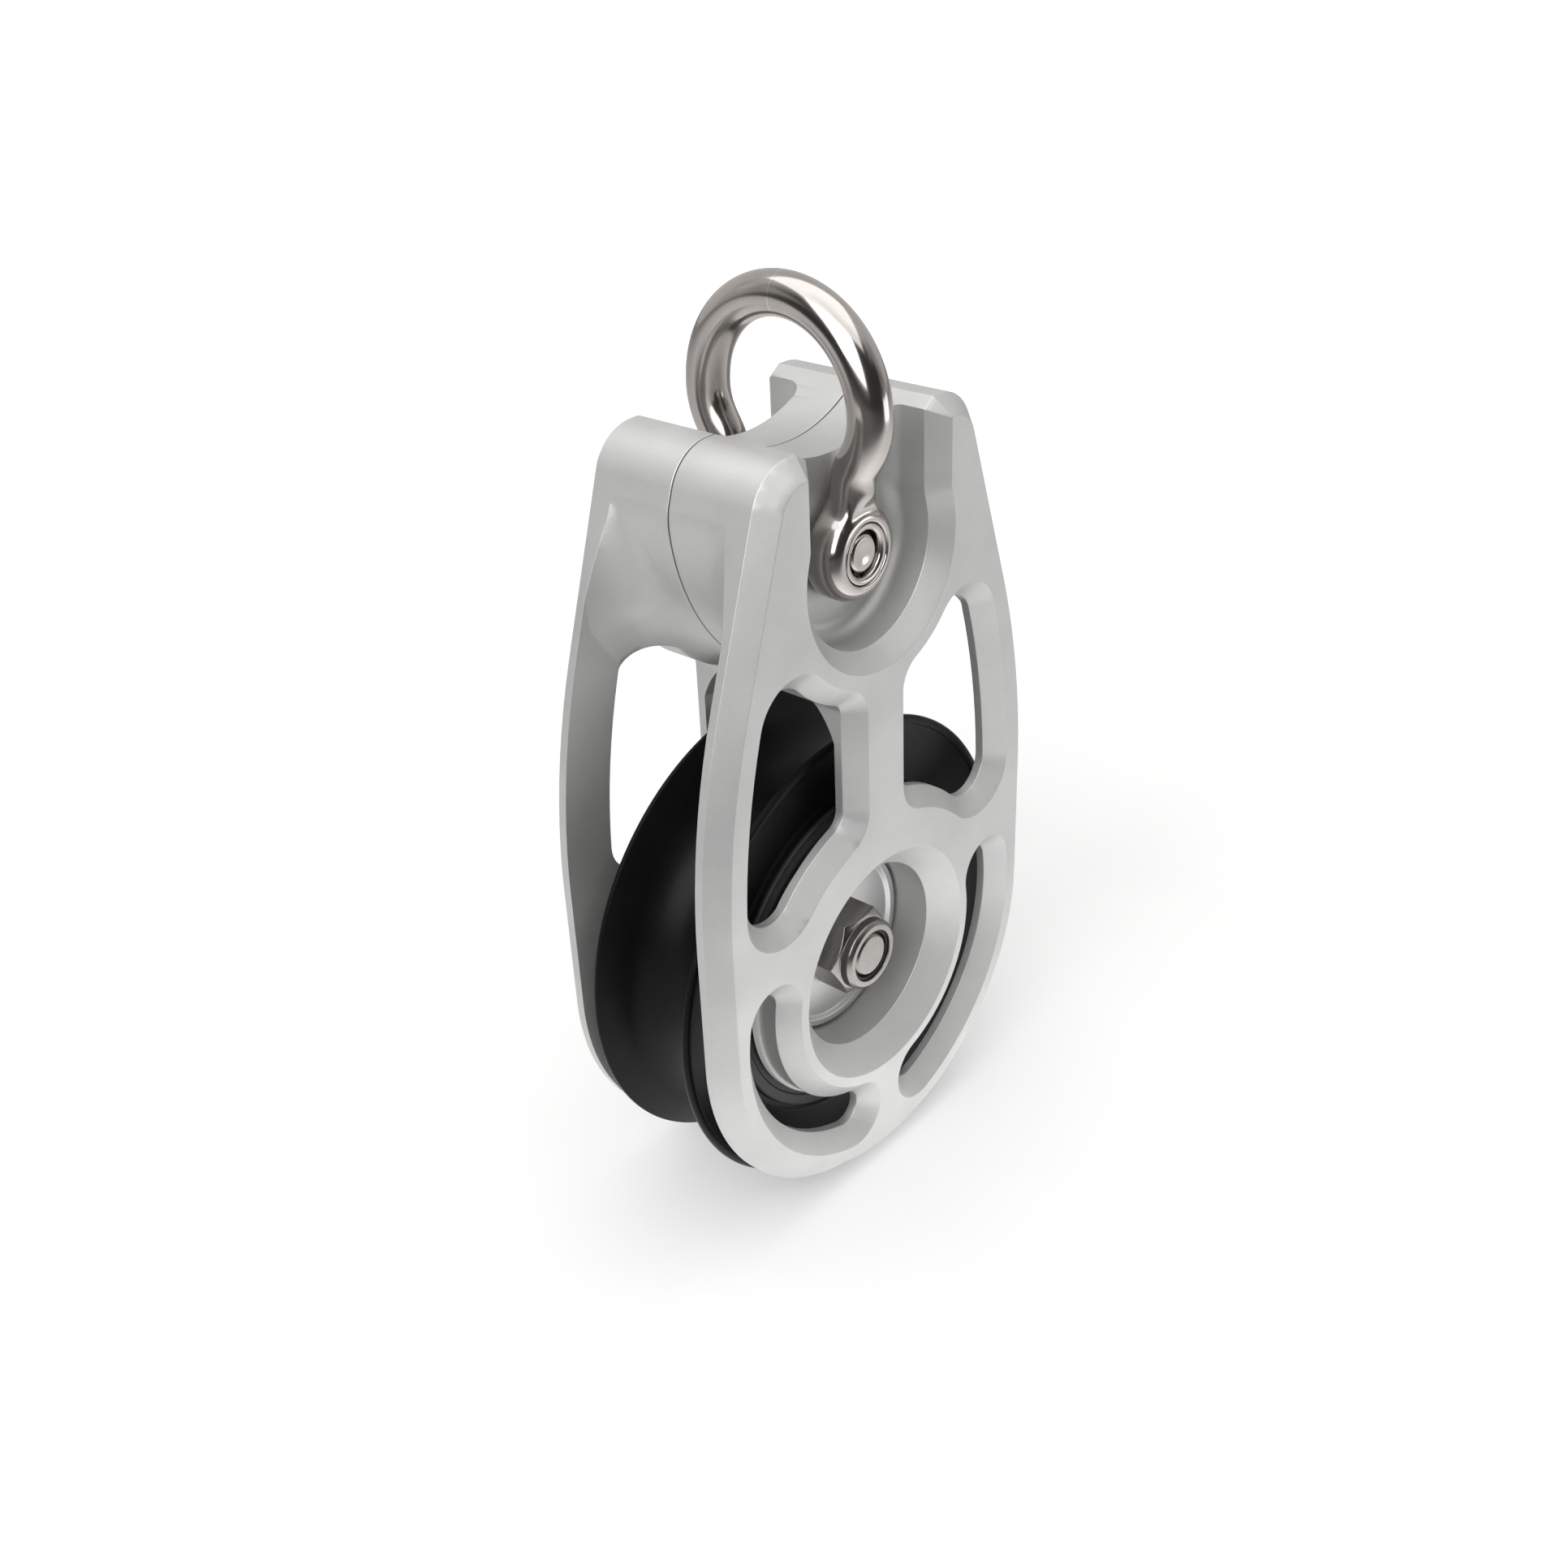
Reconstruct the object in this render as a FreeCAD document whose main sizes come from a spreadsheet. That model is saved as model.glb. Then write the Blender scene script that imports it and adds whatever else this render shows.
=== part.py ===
import FreeCAD, Part
import math
import os
import re
from types import SimpleNamespace
import Sketcher

# Every size of the block, in millimetres and degrees, from the hub outwards
SIZES = {
    # half hub: the dish in its outer face, the wall around the dish and the web to the middle
    "dish_r": 12.0,
    "dish_bevel": 3.15,
    "hub_wall": 3.0,
    "hub_web": 3.7,
    "land_width": 4.0,
    "land_t": 1.4,
    # centre bolt, its nut and the discs in the dishes
    "bolt_r": 3.0,
    "hex_wall": 2.0,
    "hex_ease": 0.25,
    "hex_slope_deg": 30.0,
    "head_t": 4.0,
    "nut_hex_t": 4.7,
    "collar_t": 1.5,
    "collar_step": 0.4,
    "collar_wall": 0.65,
    "lip_gap": 0.4,
    "lip_t": 0.35,
    "insert_t": 1.3,
    "bolt_sink": 0.2,
    "bolt_break": 0.5,
    "disc_gap": 0.35,
    "disc_t": 1.0,
    "disc_rim": 1.2,
    "disc_rim_t": 0.5,
    "disc_rim_slope": 0.4,
    # bearing
    "slide_play": 0.03,
    "roll_play": 0.025,
    "race_t": 1.0,
    "roller_r": 1.2,
    "roller_count": 20,
    "cage_play": 0.4,
    "cage_end": 0.5,
    "cage_gap": 0.3,
    "window_play": 0.1,
    "cap_play": 0.6,
    "cap_seat": 2.75,
    "cap_ridge": 1.3,
    "cap_t": 1.4,
    "cap_dip": 0.2,
    "thrust_gap": 0.1,
    "thrust_t": 0.9,
    # sheave
    "floor_wall": 0.8,
    "groove_depth": 8.0,
    "rope_r": 6.0,
    "mouth_half": 6.9,
    "rim_t": 0.7,
    "rim_break": 0.3,
    "lip_width": 1.1,
    "lip_step": 0.5,
    "web_step": 1.1,
    "web_dip": 1.0,
    # plate of one cheek
    "plate_t": 3.3,
    "rim_show": 0.6,
    "straight_z": 16.0,
    "flank_r": 90.0,
    "taper_deg": 18.2,
    "bevel": 2.2,
    # head, measured from the shackle's pin, and the cove that undercuts it
    "pocket_r": 10.8,
    "channel_step": 0.8,
    "pocket_blend": 6.0,
    "floor_fillet": 2.0,
    "head_web": 6.1,
    "head_wall": 4.4,
    "head_gap": 7.95,
    "head_flank_r": 26.3,
    "blend_r": 9.0,
    "blend_rise": 7.0,
    "cove_bite": 0.5,
    "cove_floor": 0.5,
    "cove_top_r": 1.0,
    "cove_top_rise": 1.5,
    "cove_from_deg": 27.6,
    "cove_ease": 0.05,
    "horn_rise": 14.75,
    "horn_r": 6.0,
    "saddle_dip": 4.0,
    "saddle_lip": 1.56,
    "seam_break": 0.15,
    # two windows and two curved slots
    "spine_half": 5.4,
    "window_head_wall": 1.8,
    "window_hub_wall": 7.3,
    "window_rim_wall": 6.9,
    "window_low_r": 2.3,
    "window_side_r": 4.0,
    "window_top_r": 3.8,
    "window_inner_r": 1.8,
    "slot_hub_wall": 3.6,
    "slot_rim_wall": 6.1,
    "slot_high_deg": 9.5,
    "slot_low_deg": 72.3,
    # shackle
    "pin_r": 3.0,
    "pin_end_r": 2.45,
    "pin_sink": 0.3,
    "ring_t": 1.0,
    "ring_sink": 0.15,
    "ring_break": 0.25,
    "bush_t": 1.0,
    "washer_r": 4.5,
    "washer_t": 0.25,
    "washer_play": 0.05,
    "rod_r": 2.5,
    "eye_spare": 0.1,
    "eye_wall": 2.49,
    "eye_round": 2.4,
    "eye_inner_round": 1.2,
    "leg_z": 5.5,
    "neck_r": 8.0,
    "bow_r": 11.6,
    # dowels between the halves of the head
    "dowel_r": 1.5,
    "dowel_half": 5.0,
    "dowel_wall": 2.0,
    "dowel_rise": 2.85,
    "dowel_break": 0.3,
    "hole_spare": 0.2,
}

# What follows from the sizes, as formulas that the sheet can work out
FORMULAS = {
    # radii from the axle line outwards
    "hub_r": "dish_r + hub_wall",
    "land_r": "hub_r + land_width",
    "race_r": "hub_r + race_t",
    "roller_at": "race_r + roll_play + roller_r",
    "bore_r": "roller_at + roller_r + roll_play",
    "cap_r": "bore_r + cap_seat",
    "groove_floor_r": "cap_r + floor_wall",
    "rim_r": "groove_floor_r + groove_depth",
    "plate_r": "rim_r - rim_show",
    "flank_x": "plate_r - flank_r",
    "slot_in_r": "hub_r + slot_hub_wall",
    "slot_out_r": "plate_r - slot_rim_wall",
    "window_low": "hub_r + window_hub_wall",
    # distances along the axle from the middle plane
    "sheave_half": "mouth_half + rim_t",
    "cage_half": "sheave_half - cap_t - cage_gap",
    "roller_half": "cage_half - cage_end",
    "thrust_in": "sheave_half + thrust_gap",
    "land_y": "thrust_in + thrust_t",
    "gap_half": "land_y + land_t",
    "face_y": "gap_half + plate_t",
    "disc_top": "hub_web + disc_t",
    "hex_half": "bolt_r + hex_wall",
    "hex_top": "disc_top + nut_hex_t",
    "collar_top": "hex_top + collar_t",
    "collar_r": "hex_half - collar_step",
    "insert_r": "collar_r - collar_wall",
    "insert_y": "collar_top - lip_t - insert_t",
    "bolt_hole_r": "bolt_r + slide_play",
    # heights above the axle line
    "head_r": "pocket_r + head_wall",
    "pin_z": "rim_r + head_gap + head_r",
    "horn_z": "pin_z + horn_rise",
    "saddle_z": "horn_z - saddle_dip",
    "channel_half": "pocket_r - channel_step",
    "horn_x": "channel_half + saddle_lip",
    "saddle_r": "(horn_x^2 + saddle_dip^2) / (2 * saddle_dip)",
    "window_top": "head_r + window_head_wall",
    "cove_r": "gap_half + cove_bite",
    # shackle, from its pin
    "bush_in_r": "pin_r + slide_play",
    "bush_out_r": "bush_in_r + bush_t",
    "eye_half": "rod_r + eye_spare",
    "eye_in": "head_web + washer_t + washer_play",
    "eye_out": "eye_in + 2 * eye_half",
    "leg_y": "eye_in + eye_half",
    "ring_in_r": "pin_end_r + slide_play",
    "ring_out_r": "ring_in_r + ring_t",
    "eye_bore_r": "ring_out_r + slide_play",
    "eye_r": "eye_bore_r + eye_wall",
    "bow_mid": "leg_z + sqrt((neck_r + bow_r)^2 - (leg_y + neck_r)^2)",
    "seat_rise": "bow_mid + bow_r - rod_r",
    "hub_at": "-(pin_z + seat_rise)",
    "pin_at": "-seat_rise",
    "dowel_x": "pocket_r + dowel_wall + dowel_r",
    "dowel_z": "pin_z + dowel_rise",
}

doc = FreeCAD.newDocument("block")
Vec = FreeCAD.Vector
CW = -1
CCW = 1
# How near counts as touching, and where an edge is looked at along its length
NEAR = 1e-3
SAMPLES = (0.02, 0.5, 0.98)


# The sheet holds every size under its name
def make_sheet():
    made = doc.addObject("Spreadsheet::Sheet", "Dims")
    for row, (name, size) in enumerate(SIZES.items(), start=1):
        made.set("A%d" % row, name)
        made.set("B%d" % row, str(size))
        made.setAlias("B%d" % row, name)
    doc.recompute()
    return made


sheet = make_sheet()


# A formula with every name traced back to the sheet's cells, and its value now
def bound(text):
    def trace(hit):
        word = hit.group()
        if word in FORMULAS:
            return "(" + bound(FORMULAS[word]) + ")"
        return "Dims." + word if word in SIZES else word
    return re.sub(r"[a-z][a-z_]+", trace, text)


def value(item):
    if isinstance(item, str):
        return float(sheet.evalExpression(bound(item)))
    return float(item)


def tie(thing, prop, text):
    thing.setExpression(prop, bound(text))


dims = SimpleNamespace(**{name: value(name) for name in (*SIZES, *FORMULAS)})


# An empty body at a height, turned half a turn about the upright axis where asked
def new_body(name, height, turned=False):
    body = doc.addObject("PartDesign::Body", name)
    body.Label = name
    half_turn = FreeCAD.Rotation(Vec(0, 0, 1), 180 if turned else 0)
    body.Placement = FreeCAD.Placement(Vec(0, 0, value(height)), half_turn)
    tie(body, "Placement.Base.z", height)
    return body


def origin_of(body, role):
    return [item for item in body.Origin.OriginFeatures if item.Role == role][0]


# A sketch on one of the body's planes, moved along the plane's normal
def new_sketch(body, plane, offset="0"):
    sketch = body.newObject("Sketcher::SketchObject", body.Name + "_sketch")
    sketch.AttachmentSupport = [(origin_of(body, plane), "")]
    sketch.MapMode = "FlatFace"
    sketch.AttachmentOffset = FreeCAD.Placement(Vec(0, 0, value(offset)), FreeCAD.Rotation())
    tie(sketch, "AttachmentOffset.Base.z", offset)
    return sketch


# Fix one coordinate of a sketch point to a formula
def pin_coordinate(sketch, kind, index, point, text):
    number = value(text)
    if abs(number) < 1e-9:
        axis = -2 if kind == "DistanceX" else -1
        sketch.addConstraint(Sketcher.Constraint("PointOnObject", index, point, axis))
        return
    rule = sketch.addConstraint(Sketcher.Constraint(kind, -1, 1, index, point, number))
    tie(sketch, "Constraints[%d]" % rule, text)


def pin_point(sketch, index, point, place):
    for kind, text in zip(("DistanceX", "DistanceY"), place):
        if isinstance(text, str):
            pin_coordinate(sketch, kind, index, point, text)


# Draw a chain of lines and arcs; a step is (start,) or (start, centre, turn)
def draw(sketch, steps, closed=True):
    first = sketch.GeometryCount
    count = len(steps) if closed else len(steps) - 1
    ends = []
    for number in range(count):
        start = [value(item) for item in steps[number][0]]
        stop = [value(item) for item in steps[(number + 1) % len(steps)][0]]
        if len(steps[number]) == 1:
            sketch.addGeometry(Part.LineSegment(Vec(*start, 0), Vec(*stop, 0)), False)
            ends.append((1, 2))
            continue
        centre = [value(item) for item in steps[number][1]]
        angles = [math.atan2(spot[1] - centre[1], spot[0] - centre[0]) for spot in (start, stop)]
        if steps[number][2] == CW:
            angles.reverse()
        if angles[1] <= angles[0]:
            angles[1] += 2 * math.pi
        circle = Part.Circle(Vec(*centre, 0), Vec(0, 0, 1), math.dist(start, centre))
        sketch.addGeometry(Part.ArcOfCircle(circle, *angles), False)
        ends.append((1, 2) if steps[number][2] == CCW else (2, 1))
    for number in range(count if closed else count - 1):
        after = (number + 1) % count
        sketch.addConstraint(Sketcher.Constraint(
            "Coincident", first + number, ends[number][1], first + after, ends[after][0]))
    for number in range(count):
        pin_point(sketch, first + number, ends[number][0], steps[number][0])
    if not closed:
        pin_point(sketch, first + count - 1, ends[-1][1], steps[-1][0])
    for number in range(count):
        if len(steps[number]) == 3:
            pin_arc(sketch, first + number, steps[number], steps[(number + 1) % len(steps)])


# An arc between two bound points needs one coordinate of its centre, a free arc both
def pin_arc(sketch, index, step, following):
    start = step[0]
    stop = following[0]
    centre = step[1]
    if not all(isinstance(item, str) for item in centre):
        return
    if all(isinstance(item, str) for item in (*start, *stop)):
        level = abs(value(start[0]) - value(stop[0])) > abs(value(start[1]) - value(stop[1]))
        kind = "DistanceY" if level else "DistanceX"
        pin_coordinate(sketch, kind, index, 3, centre[1] if level else centre[0])
        return
    pin_point(sketch, index, 3, centre)


# A full circle with bound centre and radius
def draw_circle(sketch, centre, radius):
    spot = Vec(value(centre[0]), value(centre[1]), 0)
    index = sketch.addGeometry(Part.Circle(spot, Vec(0, 0, 1), value(radius)), False)
    pin_point(sketch, index, 3, centre)
    rule = sketch.addConstraint(Sketcher.Constraint("Radius", index, value(radius)))
    tie(sketch, "Constraints[%d]" % rule, radius)


def opposite(item):
    return "-(" + item + ")" if isinstance(item, str) else -item


# The same open chain on the other side of the upright axis, run back to its start
def mirror_chain(steps):
    flipped = []
    for number in range(len(steps) - 1, -1, -1):
        x, z = steps[number][0]
        step = [(opposite(x), z)]
        if number > 0 and len(steps[number - 1]) == 3:
            centre = steps[number - 1][1]
            step += [(opposite(centre[0]), centre[1]), steps[number - 1][2]]
        flipped.append(tuple(step))
    return flipped


# Raise or cut a drawn sketch, away from its plane's side or into it
def raise_sketch(body, sketch, length, back=False):
    pad = body.newObject("PartDesign::Pad", body.Name + "_pad")
    pad.Profile = sketch
    pad.Length = value(length)
    tie(pad, "Length", length)
    pad.Reversed = back
    doc.recompute()
    return pad


def cut_sketch(body, sketch, length, forward=False):
    pocket = body.newObject("PartDesign::Pocket", body.Name + "_pocket")
    pocket.Profile = sketch
    pocket.Length = value(length)
    tie(pocket, "Length", length)
    pocket.Reversed = forward
    doc.recompute()
    return pocket


# Spin a profile about the axle direction, adding or removing
def spin(body, outlines, kind="PartDesign::Revolution"):
    sketch = new_sketch(body, "XY_Plane")
    for steps in outlines:
        draw(sketch, steps)
    turn = body.newObject(kind, body.Name + "_turn")
    turn.Profile = sketch
    turn.ReferenceAxis = (sketch, ["V_Axis"])
    turn.Angle = 360
    doc.recompute()
    return turn


# A turned ring or disc from corner points (radius, distance along the axle)
def turned_piece(name, height, corners, turned=False):
    body = new_body(name, height, turned)
    spin(body, [[(corner,) for corner in corners]])
    return body


# Names of the edges of the body whose two ends and middle pass a test
def pick_edges(body, test):
    names = []
    back = body.Placement.inverse()
    for number, edge in enumerate(body.Shape.Edges, start=1):
        first, last = edge.ParameterRange
        spots = [back.multVec(edge.valueAt(first + (last - first) * share)) for share in SAMPLES]
        if all(test(spot) for spot in spots):
            names.append("Edge%d" % number)
    return names


def soften(body, kind, names, size):
    prop = "Size" if kind == "Chamfer" else "Radius"
    feature = body.newObject("PartDesign::" + kind, body.Name + "_" + kind.lower())
    feature.Base = (feature.BaseFeature, names)
    setattr(feature, prop, value(size))
    tie(feature, prop, size)
    doc.recompute()
    return feature


# Plane geometry of tangent arcs
def toward(centre, target, radius):
    span = math.dist(centre, target)
    return tuple(centre[axis] + (target[axis] - centre[axis]) * radius / span for axis in (0, 1))


def meet_circles(first, radius, second, other_radius, side):
    span = math.dist(first, second)
    along = (span ** 2 + radius ** 2 - other_radius ** 2) / (2 * span)
    rise = side * math.sqrt(radius ** 2 - along ** 2)
    ux, uz = (second[0] - first[0]) / span, (second[1] - first[1]) / span
    return first[0] + along * ux - rise * uz, first[1] + along * uz + rise * ux


TAPER = math.radians(dims.taper_deg)
NORMAL = (math.cos(TAPER), math.sin(TAPER))
FLANK = (dims.plate_r - dims.flank_r, dims.straight_z)
FLANK_TOP = (FLANK[0] + dims.flank_r * NORMAL[0], FLANK[1] + dims.flank_r * NORMAL[1])
REACH = FLANK_TOP[0] * NORMAL[0] + FLANK_TOP[1] * NORMAL[1]
PIN = (0.0, dims.pin_z)


# Right half of the plate's outline, from the hub's height to the middle of the saddle
def plate_chain():
    corner_z = dims.horn_z - dims.horn_r
    corner = ((REACH - dims.horn_r - corner_z * NORMAL[1]) / NORMAL[0], corner_z)
    return [
        (("plate_r", "0"),),
        (("plate_r", "straight_z"), ("flank_x", "straight_z"), CCW),
        (FLANK_TOP,),
        ((corner[0] + dims.horn_r * NORMAL[0], corner[1] + dims.horn_r * NORMAL[1]), corner, CCW),
        ((corner[0], "horn_z"),),
        (("horn_x", "horn_z"), ("0", "saddle_z + saddle_r"), CW),
    ]


def plate_outline():
    right = plate_chain()
    left = mirror_chain(right[:-1] + [(right[-1][0],)])
    left[-1] = (left[-1][0], ("0", "0"), CCW)
    return right + left


# Back line of the cove: the head's outline moved out by the cove's width, bottom to top.
# It stays clear of the taper by a little, so the cove runs out into it near the top
def cove_line():
    grow = dims.cove_r
    blend_z = dims.pin_z + dims.blend_rise
    reach = REACH + dims.cove_ease - dims.blend_r
    blend = ((reach - blend_z * NORMAL[1]) / NORMAL[0], blend_z)
    flank = meet_circles(PIN, dims.head_flank_r - dims.head_r, blend, dims.head_flank_r - dims.blend_r, 1)
    turn = -math.radians(dims.cove_from_deg)
    far = dims.head_flank_r + grow
    middle = (flank[0] + far * math.cos(turn), flank[1] + far * math.sin(turn))
    end = (blend[0] + (dims.blend_r + grow) * NORMAL[0], blend[1] + (dims.blend_r + grow) * NORMAL[1])
    last = (end[0] - dims.cove_top_rise * NORMAL[1], end[1] + dims.cove_top_rise * NORMAL[0])
    lower = [
        ((0.0, PIN[1] - dims.head_r - grow), PIN, CCW),
        (toward(flank, PIN, far), flank, CCW),
        (middle,),
    ]
    upper = [
        (middle, flank, CCW),
        (toward(flank, blend, far), blend, CCW),
        (end,),
        (last,),
    ]
    return lower, upper, turn


# Section of the cove at a point of its back line: a floor with a round at each side
def cove_section(body, side, place, turn, corner_r):
    sketch = body.newObject("Sketcher::SketchObject", body.Name + "_sketch")
    sketch.AttachmentSupport = [(origin_of(body, "XY_Plane"), "")]
    sketch.MapMode = "FlatFace"
    spin_to = FreeCAD.Rotation(Vec(0, 1, 0), -side * math.degrees(turn))
    sketch.AttachmentOffset = FreeCAD.Placement(Vec(side * place[0], 0, place[1]), spin_to)
    floor = -side * dims.cove_r
    rise = side * corner_r
    half = dims.cove_r
    flat = half - corner_r
    steps = [
        ((floor, -flat),),
        ((floor, flat), (floor + rise, flat), -side),
        ((floor + rise, half),),
        ((0.0, half),),
        ((0.0, -half),),
        ((floor + rise, -half), (floor + rise, -flat), -side),
    ]
    draw(sketch, steps)
    return sketch


# One window between the spine, the head, the flank and the hub
def window_outline(side):
    inner = (dims.flank_r - dims.window_rim_wall)
    hub = (0.0, 0.0)
    low_x = dims.spine_half + dims.window_low_r
    low = (low_x, math.sqrt((dims.window_low + dims.window_low_r) ** 2 - low_x ** 2))
    out = meet_circles(hub, dims.window_low + dims.window_side_r, FLANK, inner - dims.window_side_r, -1)
    top = meet_circles(PIN, dims.window_top + dims.window_top_r, FLANK, inner - dims.window_top_r, 1)
    near_x = dims.spine_half + dims.window_inner_r
    near = (near_x, dims.pin_z - math.sqrt((dims.window_top + dims.window_inner_r) ** 2 - near_x ** 2))
    steps = [
        (("spine_half", low[1]), low, CCW),
        (toward(hub, low, dims.window_low), ("0", "0"), CW),
        (toward(hub, out, dims.window_low), out, CCW),
        (toward(FLANK, out, inner), ("flank_x", "straight_z"), CCW),
        (toward(FLANK, top, inner), top, CCW),
        (toward(PIN, top, dims.window_top), ("0", "pin_z"), CW),
        (toward(PIN, near, dims.window_top), near, CCW),
        (("spine_half", near[1]),),
    ]
    return steps if side > 0 else flip_turns(steps)


# The same outline on the other side of the upright axis, in the same order
def flip_turns(steps):
    flipped = []
    for step in steps:
        place = (opposite(step[0][0]), step[0][1])
        if len(step) == 1:
            flipped.append((place,))
            continue
        flipped.append((place, (opposite(step[1][0]), step[1][1]), -step[2]))
    return flipped


# One curved slot beside the hub
def slot_outline(side):
    inner = dims.slot_in_r
    outer = dims.slot_out_r
    middle = (inner + outer) / 2
    high = math.radians(dims.slot_high_deg)
    low = -math.radians(dims.slot_low_deg)
    spots = {}
    for name, angle in (("high", high), ("low", low)):
        for ring, radius in (("in", inner), ("mid", middle), ("out", outer)):
            spots[name + ring] = (radius * math.cos(angle), radius * math.sin(angle))
    steps = [
        (spots["lowout"], ("0", "0"), CCW),
        (spots["highout"], spots["highmid"], CCW),
        (spots["highin"], ("0", "0"), CW),
        (spots["lowin"], spots["lowmid"], CCW),
    ]
    return steps if side > 0 else flip_turns(steps)


# The keyhole pocket, open at the top
def pocket_outline():
    blend_x = dims.channel_half + dims.pocket_blend
    blend = (blend_x, dims.pin_z + math.sqrt((dims.pocket_r + dims.pocket_blend) ** 2 - blend_x ** 2))
    touch = toward(PIN, blend, dims.pocket_r)
    return [
        ((-touch[0], touch[1]), ("0", "pin_z"), CCW),
        (touch, blend, CW),
        (("channel_half", blend[1]),),
        (("channel_half", "horn_z + horn_r"),),
        (("-channel_half", "horn_z + horn_r"),),
        (("-channel_half", blend[1]), (-blend[0], blend[1]), CW),
    ]


# Half of the head: the plate's upper part carried to the middle, with the cove swept out.
# The cove's rounds keep their size round the bottom and shrink towards the horns
def add_head(body):
    sketch = new_sketch(body, "XZ_Plane")
    draw(sketch, plate_outline())
    raise_sketch(body, sketch, "gap_half")
    lower, upper, turn = cove_line()
    full_r = dims.cove_r - dims.cove_floor
    for side in (1, -1):
        line = lower[:-1] + upper
        outside = new_sketch(body, "XZ_Plane")
        deep = -2 * dims.plate_r
        top = upper[-1][0]
        corners = [((2 * dims.plate_r, top[1]),), ((2 * dims.plate_r, deep),), ((0.0, deep),)]
        around = line[:-1] + [(top,)] + corners
        draw(outside, around if side > 0 else flip_turns(around))
        cut_sketch(body, outside, "gap_half", forward=True)
        bottom = cove_section(body, side, lower[0][0], -math.pi / 2, full_r)
        sweep_cove(body, side, lower, bottom)
        start = cove_section(body, side, upper[0][0], turn, full_r)
        finish = cove_section(body, side, top, TAPER, dims.cove_top_r)
        sweep_cove(body, side, upper, start, finish)


def sweep_cove(body, side, line, start, finish=None):
    path = new_sketch(body, "XZ_Plane")
    draw(path, line if side > 0 else flip_turns(line), closed=False)
    sweep = body.newObject("PartDesign::SubtractivePipe", body.Name + "_cove")
    sweep.Profile = start
    sweep.Spine = path
    if finish:
        sweep.Transformation = "Multisection"
        sweep.Sections = [(finish, [""])]
    doc.recompute()


# Half of the hub, with the land for the side ring
def add_half_hub(body):
    spin(body, [[
        (("0", "0"),),
        (("hub_r", "0"),),
        (("hub_r", "-land_y"),),
        (("land_r", "-land_y"),),
        (("land_r", "-gap_half"),),
        (("0", "-gap_half"),),
    ]])


# Tests that pick the edges to be broken or filled
def on_outer_face(spot):
    return abs(spot.y + dims.face_y) < NEAR


def on_pocket_foot(spot):
    off_saddle = abs(math.hypot(spot.x, spot.z - dims.saddle_z - dims.saddle_r) - dims.saddle_r) > NEAR
    above = spot.z > dims.pin_z - dims.pocket_r - NEAR
    return abs(spot.y + dims.head_web) < NEAR and off_saddle and above


def on_head_seam(spot):
    return abs(spot.y) < NEAR and spot.z > dims.rim_r


# One machined cheek, drawn as the front one
def make_cheek(name, turned):
    body = new_body(name, "hub_at", turned)
    add_head(body)
    plate = new_sketch(body, "XZ_Plane", "gap_half")
    draw(plate, plate_outline())
    raise_sketch(body, plate, "plate_t")
    add_half_hub(body)
    holes = new_sketch(body, "XZ_Plane", "face_y")
    for side in (1, -1):
        draw(holes, window_outline(side))
        draw(holes, slot_outline(side))
    cut_sketch(body, holes, "face_y")
    pocket = new_sketch(body, "XZ_Plane", "face_y")
    draw(pocket, pocket_outline())
    cut_sketch(body, pocket, "face_y - head_web")
    soften(body, "Chamfer", pick_edges(body, on_outer_face), "bevel")
    soften(body, "Fillet", pick_edges(body, on_pocket_foot), "floor_fillet")
    soften(body, "Chamfer", pick_edges(body, on_head_seam), "seam_break")
    add_dish(body)
    add_bores(body)
    return body


# The dish that holds the disc and the nut or the bolt's head, and the bolt's hole
def add_dish(body):
    spin(body, [[
        (("0", "0"),),
        (("bolt_hole_r", "0"),),
        (("bolt_hole_r", "-hub_web"),),
        (("dish_r", "-hub_web"),),
        (("dish_r", "-(face_y - dish_bevel)"),),
        (("dish_r + dish_bevel", "-face_y"),),
        (("0", "-face_y"),),
    ]], "PartDesign::Groove")


# Holes for the shackle's bush and for the dowels
def add_bores(body):
    bush = new_sketch(body, "XZ_Plane")
    draw_circle(bush, ("0", "pin_z"), "bush_out_r + slide_play")
    cut_sketch(body, bush, "head_web", forward=True)
    dowels = new_sketch(body, "XZ_Plane")
    for sign in ("", "-"):
        draw_circle(dowels, (sign + "dowel_x", "dowel_z"), "dowel_r + slide_play")
    cut_sketch(body, dowels, "dowel_half + hole_spare", forward=True)


# Sheave with a round-bottomed groove, thin rims and dished sides
def make_sheave():
    centre = (dims.groove_floor_r + dims.rope_r, 0.0)
    mouth = (dims.rim_r, dims.mouth_half)
    lean = math.atan2(mouth[1] - centre[1], mouth[0] - centre[0])
    lean += math.acos(dims.rope_r / math.dist(mouth, centre))
    touch = (centre[0] + dims.rope_r * math.cos(lean), dims.rope_r * math.sin(lean))
    step = "sheave_half - cap_t"
    half = [
        (("bore_r", step),),
        (("cap_r + slide_play", step),),
        (("cap_r + slide_play", "sheave_half - lip_step"),),
        (("cap_r + web_step", "sheave_half - lip_step"),),
        (("cap_r + web_step", "sheave_half - web_dip"),),
        (("rim_r - lip_width", "sheave_half - lip_step"),),
        (("rim_r - lip_width", "sheave_half - rim_break"),),
        (("rim_r - lip_width + rim_break", "sheave_half"),),
        (("rim_r - rim_break", "sheave_half"),),
        (("rim_r", "sheave_half - rim_break"),),
        (("rim_r", "mouth_half"),),
    ]
    other = [((x, opposite(y)),) for ((x, y),) in reversed(half)]
    body = new_body("sheave", "hub_at")
    spin(body, [half + [(touch, centre, CCW), ((touch[0], -touch[1]),)] + other])
    return body


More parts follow.
